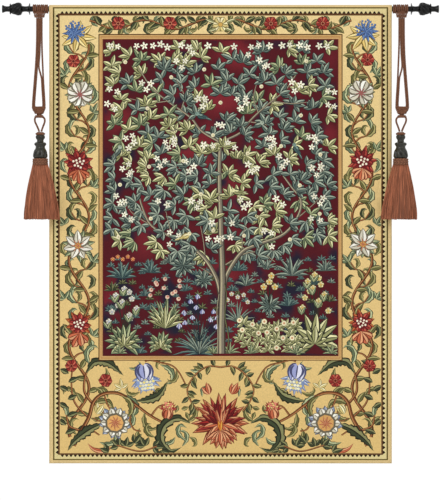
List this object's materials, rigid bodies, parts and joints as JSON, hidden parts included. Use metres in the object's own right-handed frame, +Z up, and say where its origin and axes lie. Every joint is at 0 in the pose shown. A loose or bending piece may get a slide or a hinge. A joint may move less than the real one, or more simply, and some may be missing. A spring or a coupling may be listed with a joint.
{
  "type": "tapestry wall hanging",
  "caption": "Woven, lined tapestry panel hung by a sewn pocket on a slim black rod with turned finials, with a corded tassel looped over each end of the rod.",
  "frame": {"origin": "on the rod's axis at its middle", "axes": "+X along the rod to the right seen from the room, +Y into the wall, +Z up"},
  "size_m": [0.8668, 0.051, 0.915],
  "materials": {
    "iron": "black gloss",
    "weave": "jacquard weave",
    "lining": "plain cotton",
    "thread": "twisted thread",
    "cord": "plied rayon cord",
    "carved_head": "dark rubbed lacquer",
    "core_wood": "plain turned wood",
    "fringe": "soft cut fringe"
  },
  "bodies": {
    "rod": {"hanging_rod": "iron", "left_end_insert": "iron", "right_end_insert": "iron"},
    "panel": {"woven_panel": "weave", "rod_pocket": "lining", "lining": "lining", "hem_left": "weave", "hem_right": "weave", "hem_bottom": "weave", "hem_stitching": "thread", "pocket_stitching": "thread"},
    "left_collar": {"left_finial_collar": "iron"},
    "left_finial": {"left_finial_stud": "iron", "left_finial_neck": "iron", "left_finial_bulb": "iron", "left_finial_ring": "iron", "left_finial_flare": "iron"},
    "left_hitch": {"left_hitch": "cord"},
    "left_loop": {"left_upper_loop": "cord"},
    "left_tassel": {"left_joining_knot": "cord", "left_lower_loop": "cord", "left_tassel_rosette": "cord", "left_tassel_head": "carved_head", "left_tassel_core": "core_wood", "left_skirt_braid": "fringe", "left_skirt": "fringe"},
    "right_collar": {"right_finial_collar": "iron"},
    "right_finial": {"right_finial_stud": "iron", "right_finial_neck": "iron", "right_finial_bulb": "iron", "right_finial_ring": "iron", "right_finial_flare": "iron"},
    "right_hitch": {"right_hitch": "cord"},
    "right_loop": {"right_upper_loop": "cord"},
    "right_tassel": {"right_joining_knot": "cord", "right_lower_loop": "cord", "right_tassel_rosette": "cord", "right_tassel_head": "carved_head", "right_tassel_core": "core_wood", "right_skirt_braid": "fringe", "right_skirt": "fringe"}
  },
  "joints": [
    {"name": "panel_swing", "type": "hinge", "parent": "rod", "child": "panel", "pos_m": [0, 0, 0], "axis": [-1, 0, 0], "range_deg": [0, 20]},
    {"name": "left_finial_draw", "type": "slide", "parent": "rod", "child": "left_collar", "axis": [-1, 0, 0], "range_m": [0, 0.00635]},
    {"name": "left_finial_turn", "type": "hinge", "parent": "left_collar", "child": "left_finial", "pos_m": [-0.39, 0, 0], "axis": [-1, 0, 0], "range_deg": [0, 1800]},
    {"name": "left_hitch_slide", "type": "slide", "parent": "rod", "child": "left_hitch", "axis": [-1, 0, 0], "range_m": [-0.0015, 0.0045]},
    {"name": "left_loop_swing", "type": "hinge", "parent": "left_hitch", "child": "left_loop", "pos_m": [-0.3575, 0, 0], "axis": [-1, 0, 0], "range_deg": [0, 20]},
    {"name": "left_tassel_swing", "type": "hinge", "parent": "left_loop", "child": "left_tassel", "pos_m": [-0.3585, -0.021, -0.211], "axis": [0, 1, 0], "range_deg": [-12, 12]},
    {"name": "right_finial_draw", "type": "slide", "parent": "rod", "child": "right_collar", "axis": [1, 0, 0], "range_m": [0, 0.00635]},
    {"name": "right_finial_turn", "type": "hinge", "parent": "right_collar", "child": "right_finial", "pos_m": [0.39, 0, 0], "axis": [1, 0, 0], "range_deg": [0, 1800]},
    {"name": "right_hitch_slide", "type": "slide", "parent": "rod", "child": "right_hitch", "axis": [1, 0, 0], "range_m": [-0.0015, 0.0045]},
    {"name": "right_loop_swing", "type": "hinge", "parent": "right_hitch", "child": "right_loop", "pos_m": [0.3575, 0, 0], "axis": [-1, 0, 0], "range_deg": [0, 20]},
    {"name": "right_tassel_swing", "type": "hinge", "parent": "right_loop", "child": "right_tassel", "pos_m": [0.3585, -0.021, -0.211], "axis": [0, 1, 0], "range_deg": [-12, 12]}
  ],
  "couplings": [
    {"joint": "left_finial_turn", "follows": "left_finial_draw", "rad_per_m": 4947.4},
    {"joint": "left_loop_swing", "follows": "panel_swing", "ratio": 1},
    {"joint": "right_finial_turn", "follows": "right_finial_draw", "rad_per_m": 4947.4},
    {"joint": "right_loop_swing", "follows": "panel_swing", "ratio": 1}
  ]
}
